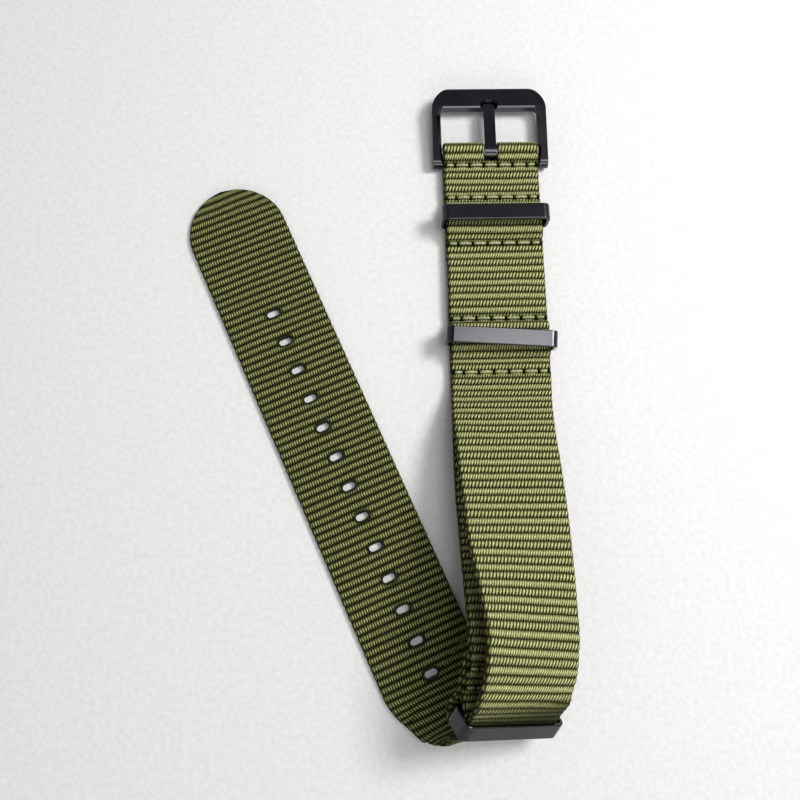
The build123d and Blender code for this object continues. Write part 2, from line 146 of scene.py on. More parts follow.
# Weave
RIB_PITCH = 1.6
RIB_STEPS = 6
RIB_ROUNDNESS = 0.8
SHALLOW_GROOVE = 0.3
STRAND_PITCH = 0.55
BOLD_STRAND_PITCH = 0.733
FRONT_SLANT = 0.5
BACK_SLANT = 0.15
GROOVE_DEPTH = 0.24
SELVEDGE_SCALLOP = 0.16
WEAVE_WANDER = 0.11
WANDER_WIDTH = 7
WANDER_LENGTH = 5
UNEVEN_DEPTH = 0.05
UNEVEN_SIZE = 1.3
LEAST_WIDTH_SHARE = 0.02
ROUTE_STEP = 0.2
CORNER_EASE = 0.7
PATH_STEPS = 10
ARC_STEP = 6.0

# Stitches
STITCH_DENT = 0.28
STITCH_DENT_REACH = 0.55
STITCH_SHADE = 0.35
NEEDLE_THREAD_RISE = 0.05
BOBBIN_THREAD_RISE = -0.2
NEEDLE_PIT = 0.6
NEEDLE_PIT_REACH = 0.55
THREAD_RADIUS = 0.3
THREAD_LOBE = 0.2
THREAD_TWISTS = 1.3
THREAD_END_GAP = 0.3
THREAD_FLATNESS = 0.85
THREAD_TIP_SHARE = 0.55
STITCH_RISE = 0.42
STITCH_ROUNDNESS = 0.55
STITCH_STEPS = 14
TUBE_SIDES = 12

# Painted shade on the webbing near where the strap bends over the end ring
RING_SHADE = 0.8
RING_SHADE_REACH = 9.0

# Melted lips of the strap holes
RIM_OFFSET = 0.14
RIM_THICKNESS = 0.3
RIM_LIFT = 0.05
RIM_STEPS = 32
RIM_SWELL = 0.25
RIM_LUMPS = 6
PUNCHED_SHARE = 0.94
MELTED_REACH = 0.7
MELTED_DENT = 0.15
MELTED_SHADE = 0.9

# Directions of the dark patch and the two bright ones that the black faces reflect
DARK_PATCH = (0.13, 0.5, 0.856)
LIGHT_PATCH = (0.2, 0.07, 0.977)
WINDOW_PATCH = (0.13, -0.86, 0.49)

# Table, and the camera that took the photo
TABLE_REACH = 1500
TABLE_DROP = 0.05
CAMERA_SPOT = (-28.68, -38.66, 192.4)
CAMERA_TURNS = (12.27, -1.61, -1.48)
SENSOR_WIDTH = 36.0
FOCAL_LENGTH = 40.5

ACROSS_X = Vector((1, 0, 0))
AXIS_Y = Vector((0, 1, 0))
AXIS_Z = Vector((0, 0, 1))

ring_turn = Euler((radians(END_RING_LEAN), radians(END_RING_ROLL), radians(END_RING_YAW))).to_matrix()
ring_across, ring_along, ring_up = ring_turn.col
end_bar = END_RING - ring_up * RING_BAR_DROP
passing_point = END_RING + ring_up * PASSING_OFFSET
loop_back = ring_along * cos(radians(KEEPER_LOOP_LEAN)) - ring_up * sin(radians(KEEPER_LOOP_LEAN))
loop_up = ring_up * cos(radians(KEEPER_LOOP_LEAN)) + ring_along * sin(radians(KEEPER_LOOP_LEAN))
tail_along = Vector((sin(radians(TAIL_SWING)), -cos(radians(TAIL_SWING)), 0))
tail_across = Vector((cos(radians(TAIL_SWING)), sin(radians(TAIL_SWING)), 0))
tail_start = FIRST_HOLE + tail_along * (HOLE_PITCH * (HOLE_COUNT - 1) + FLAT_BEFORE_LAST_HOLE)
tail_tip = FIRST_HOLE - tail_along * TIP_DISTANCE


# ---- Routes of the two straps ----

def cross_direction(turn, roll):
    flat = cos(radians(roll))
    return Vector((flat * cos(radians(turn)), flat * sin(radians(turn)), -sin(radians(roll))))


def curve_point(before, start, end, after, share):
    return [
        (2 * b + (c - a) * share + (2 * a - 5 * b + 4 * c - d) * share**2
         + (3 * b - a - 3 * c + d) * share**3) / 2
        for a, b, c, d in zip(before, start, end, after)
    ]


def smooth_path(rows):
    """Centres and cross directions through rows of x, y, z, turn and roll."""
    path = []
    for index in range(len(rows) - 1):
        before = rows[max(index - 1, 0)]
        after = rows[min(index + 2, len(rows) - 1)]
        for step in range(PATH_STEPS):
            x, y, z, turn, roll = curve_point(
                before, rows[index], rows[index + 1], after, step / PATH_STEPS)
            path.append((Vector((x, y, z)), cross_direction(turn, roll)))
    x, y, z, turn, roll = rows[-1]
    path.append((Vector((x, y, z)), cross_direction(turn, roll)))
    return path


def arc_path(centre, radius, toward, up, first, last, across):
    count = max(2, round(abs(last - first) / ARC_STEP))
    path = []
    for index in range(count + 1):
        angle = radians(first + (last - first) * index / count)
        path.append((centre + up * (radius * cos(angle)) + toward * (radius * sin(angle)), across))
    return path


def level_rows(points):
    return [(Vector((0, y, z)), ACROSS_X) for y, z in points]


def pocket_rows(ring_y):
    """The upper layer's rise over a keeper ring's lower bar."""
    raised = STRAP_THICKNESS + POCKET_HEIGHT + MID_HEIGHT
    return [
        (ring_y + POCKET_FLAT + POCKET_RAMP, UPPER_MID_HEIGHT),
        (ring_y + POCKET_FLAT, raised),
        (ring_y - POCKET_FLAT, raised),
        (ring_y - POCKET_FLAT - POCKET_RAMP, UPPER_MID_HEIGHT),
    ]


def run_row(along_share, height_share, drift_share, turn_share, roll_share):
    return (
        ARCH_DRIFT * drift_share,
        ARCH_FOOT_Y + (END_RING.y - ARCH_FOOT_Y) * along_share,
        ARCH_HEIGHT * height_share,
        TAIL_SWING * turn_share,
        END_RING_ROLL * roll_share,
    )


def fold_row(side_share, beyond_share, height_share, turn_share, roll_share):
    return (
        passing_point.x + (tail_start.x - passing_point.x) * side_share,
        passing_point.y - STRAP_WIDTH * beyond_share,
        END_RING.z * height_share,
        TAIL_SWING * turn_share,
        END_RING_ROLL * roll_share,
    )


def passing_rows():
    """Rows where the long strap enters, passes and leaves the end ring."""
    spots = [
        passing_point + ring_along * PASSING_ENTRY,
        passing_point,
        passing_point - ring_along * PASSING_EXIT - ring_up * PASSING_EXIT_DROP,
    ]
    return [(*spot, END_RING_YAW, END_RING_ROLL) for spot in spots]


def bar_loop():
    foot_y = SEAM_YS[0] + THREAD_WIDTH
    run = BAR_Y - foot_y
    drop = BAR_HEIGHT - UPPER_MID_HEIGHT
    leave = degrees(atan2(run, -drop)) - degrees(acos(BAR_LOOP_RADIUS / hypot(run, drop)))
    centre = Vector((0, BAR_Y, BAR_HEIGHT))
    arc = arc_path(centre, BAR_LOOP_RADIUS, -AXIS_Y, AXIS_Z, -180, leave, ACROSS_X)
    return arc + level_rows([(foot_y, UPPER_MID_HEIGHT)])


def long_strap_path():
    path = level_rows([(FOLDED_END_Y, MID_HEIGHT)]) + bar_loop()
    path += level_rows(pocket_rows(UPPER_RING_Y) + pocket_rows(LOWER_RING_Y))
    rows = [run_row(*shares) for shares in ARCH_SHARES] + passing_rows()
    rows += [fold_row(*shares) for shares in FOLD_SHARES]
    rows.append((tail_start.x, tail_start.y, MID_HEIGHT, TAIL_SWING, 0))
    path += smooth_path(rows)
    path.append((tail_tip + AXIS_Z * MID_HEIGHT, tail_across))
    return path


def keeper_strap_path():
    rows = [run_row(*shares) for shares in KEEPER_SHARES]
    sewn = MID_HEIGHT + LAYER_GAP / 2
    start = end_bar + loop_back * KEEPER_FOLD_LENGTH + loop_up * sewn
    rows.append((*start, END_RING_YAW, END_RING_ROLL))
    path = level_rows([(KEEPER_END_Y, MID_HEIGHT)]) + smooth_path(rows)
    wrap = radians(KEEPER_LOOP_WRAP)
    meet = KEEPER_LOOP_RADIUS * sin(wrap) + (KEEPER_LOOP_RADIUS * cos(wrap) - sewn) / tan(wrap)
    path.append((end_bar + loop_back * meet + loop_up * sewn, ring_across))
    path += arc_path(
        end_bar, KEEPER_LOOP_RADIUS, -loop_back, loop_up,
        -KEEPER_LOOP_WRAP, 180 + KEEPER_LOOP_WRAP, ring_across)
    path.append((end_bar + loop_back * meet - loop_up * sewn, ring_across))
    path.append((end_bar + loop_back * KEEPER_FOLD_LENGTH - loop_up * sewn, ring_across))
    return path


def even_steps(path, step):
    """The same path, cut at even distances."""
    distances = [0.0]
    for (start, _), (end, _) in zip(path, path[1:]):
        distances.append(distances[-1] + (end - start).length)
    count = round(distances[-1] / step)
    stations = []
    leg = 0
    for index in range(count + 1):
        reach = distances[-1] * index / count
        while leg < len(path) - 2 and distances[leg + 1] < reach:
            leg += 1
        share = (reach - distances[leg]) / max(distances[leg + 1] - distances[leg], step * MM)
        stations.append((
            path[leg][0].lerp(path[leg + 1][0], share), path[leg][1].lerp(path[leg + 1][1], share)))
    return stations, distances[-1]


def eased(stations, step):
    """Stations with their corners rounded, as stiff webbing rounds them."""
    reach = round(CORNER_EASE / step)
    soft = []
    for index in range(len(stations)):
        near = min(reach, index, len(stations) - 1 - index)
        window = stations[index - near:index + near + 1]
        centre = sum((point for point, _ in window), Vector()) / len(window)
        across = sum((side for _, side in window), Vector()).normalized()
        soft.append((centre, across))
    return soft


def framed(stations):
    """Centre, along, side and face directions at each station, and how far its ribs slant."""
    frames = []
    last = len(stations) - 1
    for index, (centre, across) in enumerate(stations):
        along = (stations[min(index + 1, last)][0] - stations[max(index - 1, 0)][0]).normalized()
        side = (across - along * across.dot(along)).normalized()
        slant = across.dot(along) / across.dot(side)
        frames.append((centre, along, side, along.cross(side), Vector((slant, 0))))
    return frames


class Route:
    """A strap's way, read at any distance along it."""

    def __init__(self, path):
        stations, self.length = even_steps(path, ROUTE_STEP)
        self.frames = framed(eased(stations, ROUTE_STEP))

    def at(self, distance):
        spot = min(max(distance / self.length, 0), 1) * (len(self.frames) - 1)
        index = min(int(spot), len(self.frames) - 2)
        share = spot - index
        return [a.lerp(b, share) for a, b in zip(self.frames[index], self.frames[index + 1])]


# ---- Seams ----

def seam_places():
    """Middle of each seam, its direction across and its way up."""
    places = [
        (Vector((0, y, STRAP_THICKNESS + LAYER_GAP / 2)), ACROSS_X, AXIS_Z) for y in SEAM_YS
    ]
    for distance in KEEPER_SEAM_DISTANCES:
        places.append((end_bar + loop_back * distance, ring_across, loop_up))
    return places


seam_names = [
    "buckle_end", "upper_ring_front", "upper_ring_back", "lower_ring_front", "lower_ring_back",
    "end_ring_near", "end_ring_far",
]
seams = dict(zip(seam_names, seam_places()))


def seams_near(centre):
    return [
        place for place in seams.values()
        if (centre - place[0]).length < 2 * STRAP_THICKNESS
    ]


def pressed_in(point, outward, near):
    """How far stitches pull the webbing in at a point, and how deep it lies in a needle hole."""
    dent = pit = 0.0
    for middle, across, up in near:
        away = point - middle
        if away.dot(up) * outward.dot(up) < STRAP_THICKNESS / 2:
            continue
        off = away.dot(up.cross(across))
        sideways = away.dot(across)
        dent = max(dent, exp(-(off / STITCH_DENT_REACH) ** 2))
        for hole in NEEDLE_HOLES:
            if abs(sideways - hole) < 3 * NEEDLE_PIT_REACH:
                pit = max(pit, exp(-(hypot(off, sideways - hole) / NEEDLE_PIT_REACH) ** 2))
    return dent, pit


# ---- Webbing meshes ----

FACE_COLUMNS = 38
FACE_EDGE = STRAND_PITCH * FACE_COLUMNS / 2
SELVEDGE = [(10.85, 0.6), (11.0, 0.0), (10.85, -0.6)]


def section_table():
    """Columns round the webbing: place across, level, and distance round."""
    places = [-FACE_EDGE + STRAND_PITCH * index for index in range(FACE_COLUMNS + 1)]
    upper = [(place, 1.0 if abs(place) < FACE_EDGE else 0.95) for place in places]
    table = [(place, level, place) for place, level in upper]
    table += [(place, level, STRAP_WIDTH / 2 + (STRAP_WIDTH / 2 - place) * (-1 if level > 0 else 1))
              for place, level in SELVEDGE]
    half = list(table)
    table += [(-place, -level, distance + STRAP_WIDTH) for place, level, distance in half]
    table.append((table[0][0], table[0][1], table[0][2] + 2 * STRAP_WIDTH))
    return table


section = section_table()


def rib_profile(distance):
    """Height of the ribs from 0 in a groove to 1 on a crest, every second groove shallower."""
    phase = distance / RIB_PITCH
    crest = abs(sin(pi * phase)) ** RIB_ROUNDNESS
    shallow = 0.5 - 0.5 * cos(pi * round(phase))
    return crest + (1 - crest) * SHALLOW_GROOVE * shallow


def width_share(distance, length, tip):
    """Share of the full width, narrowing in a half circle at a round tip."""
    if not tip:
        return 1.0
    beyond = (distance - (length - STRAP_WIDTH / 2)) / (STRAP_WIDTH / 2)
    return sqrt(max(1 - beyond**2, LEAST_WIDTH_SHARE**2)) if beyond > 0 else 1.0


def hole_distances(length):
    return [length - TIP_DISTANCE - HOLE_PITCH * index for index in range(HOLE_COUNT)]


def near_hole(place, distance, length):
    """1 at the outline of a strap hole, 0 beyond the webbing that melted round it."""
    middle = min(hole_distances(length), key=lambda hole: abs(hole - distance))
    gap = hypot(max(abs(place) - HOLE_STRAIGHT, 0), distance - middle) - HOLE_WIDTH / 2
    return min(max(1 - gap / MELTED_REACH, 0), 1)


def nearest_outline(place, offset, reach):
    """Point of a strap hole's outline nearest to a place beside its middle."""
    middle = min(max(place, -HOLE_STRAIGHT), HOLE_STRAIGHT)
    away = Vector((place - middle, offset))
    away.normalize()
    return middle + away.x * reach, away.y * reach


def inside_hole(place, offset, reach):
    middle = min(max(place, -HOLE_STRAIGHT), HOLE_STRAIGHT)
    return hypot(place - middle, offset) < reach


def webbing_mesh(name, route, tip=False):
    """A closed band of ribbed webbing along a route, its UV map in mm round and along it."""
    columns = len(section) - 1
    rows = round(route.length / RIB_PITCH * RIB_STEPS)
    bm = bmesh.new()
    weave_map = bm.loops.layers.uv.new("Weave")
    # Darkening read by the material: painted shade in needle holes, stitch dents and near the end ring, and
    # the darker melted webbing round the strap holes
    painted_shade_and_melt = bm.verts.layers.float.new("painted_shade_and_melt")
    verts = bmesh.ops.create_grid(bm, x_segments=columns, y_segments=rows, size=0.5)["verts"]
    places = {}
    table = {}
    for vert in verts:
        column = round((vert.co.x + 0.5) * columns)
        row = round((vert.co.y + 0.5) * rows)
        table.setdefault(row, []).append((column, vert))
    round_start = route.length - STRAP_WIDTH / 2
    for row, members in table.items():
        distance = route.length * row / rows
        if tip and distance > round_start:
            share = (distance - round_start) / (STRAP_WIDTH / 2)
            distance = round_start + STRAP_WIDTH / 4 * (share + sin(share * pi / 2))
        centre, along, side, face, slant = route.at(distance)
        near = seams_near(centre)
        narrow = width_share(distance, route.length, tip)
        ring_painted_shade_share = max(1 - (centre - passing_point).length / RING_SHADE_REACH, 0)
        for column, vert in members:
            place, level, belt = section[column]
            run = distance - place * slant.x
            ribs = rib_profile(run)
            wander = WEAVE_WANDER * noise.noise(
                Vector((place / WANDER_WIDTH, distance / WANDER_LENGTH, 3)))
            uneven = UNEVEN_DEPTH * noise.noise(
                Vector((place / UNEVEN_SIZE, distance / UNEVEN_SIZE, 9 * level)))
            groove = GROOVE_DEPTH * (1 - ribs)
            height = level * (MID_HEIGHT - groove - abs(uneven))
            edge = max(abs(place) - FACE_EDGE, 0) / (STRAP_WIDTH / 2 - FACE_EDGE)
            sideways = place * narrow * (1 - edge * SELVEDGE_SCALLOP * (1 - ribs) / (STRAP_WIDTH / 2))
            point = centre + side * sideways + face * height + along * wander
            if near:
                outward = face * (1 if level > 0 else -1)
                dent, pit = pressed_in(point, outward, near)
                point -= outward * (STITCH_DENT * dent * ribs + NEEDLE_PIT * pit)
                # Painted shade: the needle holes and stitch dents are darkened in colour
                vert[painted_shade_and_melt] = min(pit + STITCH_SHADE * dent, 1)
            if tip:
                # Painted shade darkens the webbing near where it bends over the end ring
                vert[painted_shade_and_melt] = max(vert[painted_shade_and_melt], RING_SHADE * ring_painted_shade_share)
                melted = near_hole(place, distance, route.length)
                point -= face * (level * MELTED_DENT * melted * ribs)
                vert[painted_shade_and_melt] = max(vert[painted_shade_and_melt], MELTED_SHADE * melted)
            vert.co = point
            places[vert] = (belt, run, place * narrow, distance, level)
    for loop_face in bm.faces:
        loop_face.smooth = True
        for loop in loop_face.loops:
            loop[weave_map].uv = places[loop.vert][:2]
    if tip:
        pierce(bm, places, route)
        open_tongue_slot(bm, places, route)
    rim_verts = [vert for vert in verts if vert.is_valid and vert.is_boundary]
    bmesh.ops.remove_doubles(bm, verts=rim_verts, dist=WELD)
    open_edges = [edge for edge in bm.edges if edge.is_boundary]
    bmesh.ops.holes_fill(bm, edges=open_edges, sides=0)
    bmesh.ops.recalc_face_normals(bm, faces=bm.faces)
    return finished(bm, name)


def open_tongue_slot(bm, places, route):
    """Cut the fold round the spring bar, so that the tongue reaches it."""
    reach = TONGUE_SLOT_WIDTH / 2 + TONGUE_SLOT_EASE
    tried = [
        route.length * step / TONGUE_SLOT_STEPS
        for step in range(round(TONGUE_SLOT_SEARCH * TONGUE_SLOT_STEPS))
    ]
    fold = [distance for distance in tried if route.at(distance)[0].y > TONGUE_SLOT_Y]
    cut = [
        slot_face for slot_face in bm.faces
        if all(abs(places[vert][2]) < reach for vert in slot_face.verts)
        and all(fold[0] < places[vert][3] < fold[-1] for vert in slot_face.verts)
    ]
    rim = {edge for slot_face in cut for edge in slot_face.edges}
    bmesh.ops.delete(bm, geom=cut, context="FACES")
    bmesh.ops.bridge_loops(bm, edges=[edge for edge in rim if edge.is_valid and edge.is_boundary])


def pierce(bm, places, route):
    """Open the strap holes through both faces and line them."""
    reach = HOLE_WIDTH / 2
    for middle in hole_distances(route.length):
        centre, along, side, face, _ = route.at(middle)
        punched = []
        for hole_face in bm.faces:
            spots = [places[vert] for vert in hole_face.verts]
            offset = sum(spot[3] for spot in spots) / len(spots) - middle
            if abs(offset) > HOLE_WIDTH:
                continue
            place = sum(spot[2] for spot in spots) / len(spots)
            if inside_hole(place, offset, reach * PUNCHED_SHARE):
                punched.append(hole_face)
        bmesh.ops.delete(bm, geom=punched, context="FACES")
        rim = [
            edge for edge in bm.edges
            if edge.is_boundary and all(
                inside_hole(places[vert][2], places[vert][3] - middle, 2 * reach) for vert in edge.verts)
        ]
        for vert in {vert for edge in rim for vert in edge.verts}:
            across, ahead = nearest_outline(places[vert][2], places[vert][3] - middle, reach)
            level = (vert.co - centre).dot(face)
            vert.co = centre + side * across + along * ahead + face * level
        bmesh.ops.bridge_loops(bm, edges=rim)


def finished(bm, name):
    """Put a finished bmesh into the scene, in metres."""
    bmesh.ops.scale(bm, vec=(MM, MM, MM), verts=bm.verts)
    mesh = bpy.data.meshes.new(name)
    bm.to_mesh(mesh)
    bm.free()
    piece = bpy.data.objects.new(name, mesh)
    bpy.context.scene.collection.objects.link(piece)
    return piece


def smooth_piece(bm, name):
    for piece_face in bm.faces:
        piece_face.smooth = True
    bmesh.ops.recalc_face_normals(bm, faces=bm.faces)
    return finished(bm, name)


def rolled_sheet(bm, around, along, place, closed=False):
    """A grid rolled into a tube: place gives each point from its shares round and along."""
    verts = bmesh.ops.create_grid(bm, x_segments=around, y_segments=along, size=0.5)["verts"]
    for vert in verts:
        vert.co = place(vert.co.x + 0.5, vert.co.y + 0.5)
    bmesh.ops.remove_doubles(bm, verts=verts, dist=WELD)
    if not closed:
        ends = [edge for vert in verts if vert.is_valid for edge in vert.link_edges if edge.is_boundary]
        bmesh.ops.holes_fill(bm, edges=list(set(ends)), sides=0)


# ---- Stitches and hole rims ----

def stitch_point(start, end, turn, run):
    """Point of one twisted stitch that dives into a needle hole at each end."""
    reach = (end - start) / 2 - THREAD_END_GAP
    bend = pi * (run - 0.5)
    place = (start + end) / 2 + reach * sin(bend)
    lift = cos(bend) ** STITCH_ROUNDNESS if abs(run - 0.5) < 0.5 else 0.0
    angle = 2 * pi * turn
    lobes = THREAD_RADIUS * (1 + THREAD_LOBE * cos(3 * (angle - 2 * pi * THREAD_TWISTS * run)))
    tip = THREAD_TIP_SHARE + (1 - THREAD_TIP_SHARE) * lift
    height = STITCH_RISE * (lift - 1) + lobes * THREAD_FLATNESS * tip * sin(angle)
    return place, lobes * tip * cos(angle), height


def stitch_row(name, seam, side, rise):
    middle, across, up = seams[seam]
    outward = up * side
    surface = middle + outward * (STRAP_THICKNESS + LAYER_GAP / 2 + rise)
    bm = bmesh.new()
    for start, end in zip(NEEDLE_HOLES, NEEDLE_HOLES[1:]):
        def place(turn, run, start=start, end=end):
            sideways, off, lift = stitch_point(start, end, turn, run)
            return surface + across * sideways + up.cross(across) * off + outward * lift
        rolled_sheet(bm, TUBE_SIDES, STITCH_STEPS, place)
    return smooth_piece(bm, name)


def rim_point(middle, route, turn, run):
    """Point of the melted lip round one strap hole."""
    centre, along, side, face, _ = route.at(middle)
    straight = HOLE_STRAIGHT
    reach = HOLE_WIDTH / 2 + RIM_OFFSET
    arc = pi * reach
    travel = run * (4 * straight + 2 * arc)
    if travel < arc:
        angle = -pi / 2 + travel / reach
        spot, away = straight, (cos(angle), sin(angle))
    elif travel < arc + 2 * straight:
        spot, away = straight - (travel - arc), (0, 1)
    elif travel < 2 * arc + 2 * straight:
        angle = pi / 2 + (travel - arc - 2 * straight) / reach
        spot, away = -straight, (cos(angle), sin(angle))
    else:
        spot, away = -straight + (travel - 2 * arc - 2 * straight), (0, -1)
    angle = 2 * pi * turn
    swell = 1 + RIM_SWELL * noise.noise(Vector((run * RIM_LUMPS, middle, 1)))
    radial = reach + RIM_THICKNESS * swell * cos(angle)
    return (
        centre + side * (spot + away[0] * radial) + along * (away[1] * radial)
        + face * ((MID_HEIGHT + RIM_LIFT) * sin(angle))
    )


def hole_rims(route):
    bm = bmesh.new()
    for middle in hole_distances(route.length):
        def place(turn, run, middle=middle):
            return rim_point(middle, route, turn, run % 1)
        rolled_sheet(bm, TUBE_SIDES, RIM_STEPS, place, closed=True)
    return smooth_piece(bm, "melted_hole_rims")


# ---- Materials ----

def new_material(name):
    material = bpy.data.materials.new(name)
    material.use_nodes = True
    return material, material.node_tree, material.node_tree.nodes["Principled BSDF"]


class Nodes:
    """Short calls for the maths of a pattern."""

    def __init__(self, tree):
        self.tree = tree

    def add(self, kind, **settings):
        node = self.tree.nodes.new(kind)
        for key, value in settings.items():
            setattr(node, key, value)
        return node

    def link(self, source, target):
        self.tree.links.new(source, target)

    def maths(self, operation, *values, clamp=False):
        node = self.add("ShaderNodeMath", operation=operation, use_clamp=clamp)
        for index, value in enumerate(values):
            if isinstance(value, (int, float)):
                node.inputs[index].default_value = value
            else:
                self.link(value, node.inputs[index])
        return node.outputs[0]

    def blend(self, share, first, second):
        """Number between first and second."""
        node = self.add("ShaderNodeMix", data_type="FLOAT")
        for socket, value in zip(("Factor", "A", "B"), (share, first, second)):
            target = next(s for s in node.inputs if s.name == socket and s.type == "VALUE")
            if isinstance(value, (int, float)):
                target.default_value = value
            else:
                self.link(value, target)
        return next(s for s in node.outputs if s.type == "VALUE")

    def wave(self, value, pitch):
        """0 to 1 and back once in each pitch, 0 at whole pitches."""
        cosine = self.maths("COSINE", self.maths("MULTIPLY", value, 2 * pi / pitch))
        return self.maths("MULTIPLY_ADD", cosine, -0.5, 0.5)

    def ramp(self, value, stops):
        node = self.add("ShaderNodeValToRGB")
        elements = node.color_ramp.elements
        while len(elements) < len(stops):
            elements.new(0.5)
        for element, (place, colour) in zip(elements, stops):
            element.position = place
            element.color = (*colour, 1)
        self.link(value, node.inputs[0])
        return node.outputs[0]

    def noise(self, vector, scale, detail=2.0, roughness=0.5):
        node = self.add("ShaderNodeTexNoise")
        self.link(vector, node.inputs["Vector"])
        node.inputs["Scale"].default_value = scale
        node.inputs["Detail"].default_value = detail
        node.inputs["Roughness"].default_value = roughness
        return node.outputs["Fac"]

    def bump(self, height, strength, distance, shader):
        """Raise a shader's surface by a height pattern, up to a distance in mm."""
        node = self.add("ShaderNodeBump")
        node.inputs["Strength"].default_value = strength
        node.inputs["Distance"].default_value = distance * MM
        self.link(height, node.inputs["Height"])
        self.link(node.outputs[0], shader.inputs["Normal"])


def new_group(name, takes, gives):
    group = bpy.data.node_groups.new(name, "ShaderNodeTree")
    for label, kind in takes:
        group.interface.new_socket(label, in_out="INPUT", socket_type=kind)
    for label, kind in gives:
        group.interface.new_socket(label, in_out="OUTPUT", socket_type=kind)
    return group, Nodes(group), group.nodes.new("NodeGroupInput"), group.nodes.new("NodeGroupOutput")


def rib_weave_group():
    """Cross ribs of slanted strands: how light each spot is, with painted shade in the grooves and between
    strands and painted highlights on the crests, and its height.
    """
    group, nodes, takes, gives = new_group(
        "Cross rib weave",
        [("Place", "NodeSocketVector"), ("Painted_shade_and_melt", "NodeSocketFloat")],
        [("Lightness", "NodeSocketFloat"), ("Height", "NodeSocketFloat")])
    split = nodes.add("ShaderNodeSeparateXYZ")
    nodes.link(takes.outputs["Place"], split.inputs[0])
    belt = split.outputs[0]
    ribs = nodes.maths("DIVIDE", split.outputs[1], RIB_PITCH)
    within = nodes.maths("FRACT", ribs)
    number = nodes.maths("FLOOR", ribs)
    rib = nodes.maths("SINE", nodes.maths("MULTIPLY", within, pi))
    back = nodes.maths("GREATER_THAN", belt, STRAP_WIDTH / 2)
    front = nodes.maths("SUBTRACT", 1.0, back)
    bold = nodes.maths("MULTIPLY", nodes.maths("PINGPONG", number, 1.0), front)
    slant = nodes.blend(back, FRONT_SLANT, BACK_SLANT)
    lean = nodes.maths("MULTIPLY", nodes.maths("SUBTRACT", within, 0.5), slant)
    per_mm = nodes.blend(bold, 1 / STRAND_PITCH, 1 / BOLD_STRAND_PITCH)
    strands = nodes.maths("MULTIPLY", nodes.maths("ADD", belt, lean), per_mm)
    strands = nodes.maths("MULTIPLY_ADD", number, 0.618, strands)
    strand = nodes.maths("POWER", nodes.wave(strands, 1.0), 0.75)
    far = nodes.blend(back, within, nodes.maths("SUBTRACT", 1.0, within))
    depth = nodes.maths("MULTIPLY_ADD", far, 0.7, nodes.blend(bold, 0.2, 0.45))
    depth = nodes.maths("MULTIPLY_ADD", back, 0.22, depth, clamp=True)
    # Painted shade in the gaps between strands
    bead = nodes.maths("SUBTRACT", 1.0, nodes.maths("MULTIPLY", depth, nodes.maths("SUBTRACT", 1.0, strand)))
    sharpness = nodes.maths("MULTIPLY_ADD", strand, -0.55, nodes.blend(back, 1.0, 1.4))
    # Painted highlights on the rib crests and painted shade in the grooves
    crest = nodes.maths("POWER", rib, sharpness)
    light = nodes.maths("MULTIPLY", crest, bead)
    grain = nodes.noise(takes.outputs["Place"], 1.6, 3.0, 0.65)
    light = nodes.maths("MULTIPLY", light, nodes.maths("MULTIPLY_ADD", grain, 0.9, 0.55))
    edge = nodes.maths("PINGPONG", nodes.maths("ADD", belt, STRAP_WIDTH / 2), STRAP_WIDTH / 2)
    # Painted shade along both selvedges
    selvedge_shade_mask = nodes.maths("MULTIPLY", edge, 1.6, clamp=True)
    light = nodes.maths("MULTIPLY", light, nodes.blend(selvedge_shade_mask, 0.7, 1.0))
    light = nodes.maths("MULTIPLY", light, nodes.blend(back, 1.0, 0.82))
    # Darker where the mesh marks painted shade or melted webbing
    after_painted_shade = nodes.maths("SUBTRACT", 1.0, takes.outputs["Painted_shade_and_melt"])
    nodes.link(nodes.maths("MULTIPLY", light, after_painted_shade, clamp=True), gives.inputs["Lightness"])
    raised = nodes.maths("MULTIPLY", crest, nodes.maths("MULTIPLY_ADD", strand, 0.7, 0.3))
    nodes.link(raised, gives.inputs["Height"])
    return group


rib_weave = rib_weave_group()


def webbing_material():
    material, tree, shader = new_material("Olive cross rib webbing")
    nodes = Nodes(tree)
    place = nodes.add("ShaderNodeUVMap", uv_map="Weave")
    painted_shade_and_melt = nodes.add("ShaderNodeAttribute", attribute_name="painted_shade_and_melt")
    weave = nodes.add("ShaderNodeGroup", node_tree=rib_weave)
    nodes.link(place.outputs[0], weave.inputs["Place"])
    nodes.link(painted_shade_and_melt.outputs["Fac"], weave.inputs["Painted_shade_and_melt"])
    # The darkest stops give the painted shade in grooves and holes, the lightest the painted highlights on
    # the crests
    colour = nodes.ramp(weave.outputs["Lightness"], [
        (0.0, (0.003, 0.004, 0.0005)), (0.25, (0.018, 0.021, 0.003)),
        (0.55, (0.105, 0.112, 0.033)), (1.0, (0.44, 0.44, 0.205))])
    nodes.link(colour, shader.inputs["Base Color"])
    nodes.link(nodes.blend(weave.outputs["Lightness"], 1.0, 0.6), shader.inputs["Roughness"])
    shader.inputs["Specular IOR Level"].default_value = 0.1
    shader.inputs["Sheen Weight"].default_value = 0.02
    nodes.bump(weave.outputs["Height"], 0.8, 0.12, shader)
    return material


def thread_material():
    material, tree, shader = new_material("Olive sewing thread")
    nodes = Nodes(tree)
    place = nodes.add("ShaderNodeTexCoord")
    fibre = nodes.noise(place.outputs["Object"], 2500.0, 3.0, 0.6)
    colour = nodes.ramp(fibre, [(0.3, (0.10, 0.115, 0.04)), (0.7, (0.42, 0.44, 0.22))])
    nodes.link(colour, shader.inputs["Base Color"])
    shader.inputs["Roughness"].default_value = 0.6
    shader.inputs["Sheen Weight"].default_value = 0.05
    return material


def melted_material():
    material, tree, shader = new_material("Melted webbing edge")
    nodes = Nodes(tree)
    place = nodes.add("ShaderNodeTexCoord")
    mottle = nodes.noise(place.outputs["Object"], 1200.0, 3.0, 0.6)
    colour = nodes.ramp(mottle, [(0.4, (0.003, 0.0035, 0.001)), (0.75, (0.02, 0.022, 0.008))])
    nodes.link(colour, shader.inputs["Base Color"])
    shader.inputs["Roughness"].default_value = 0.55
    shader.inputs["Specular IOR Level"].default_value = 0.15
    return material


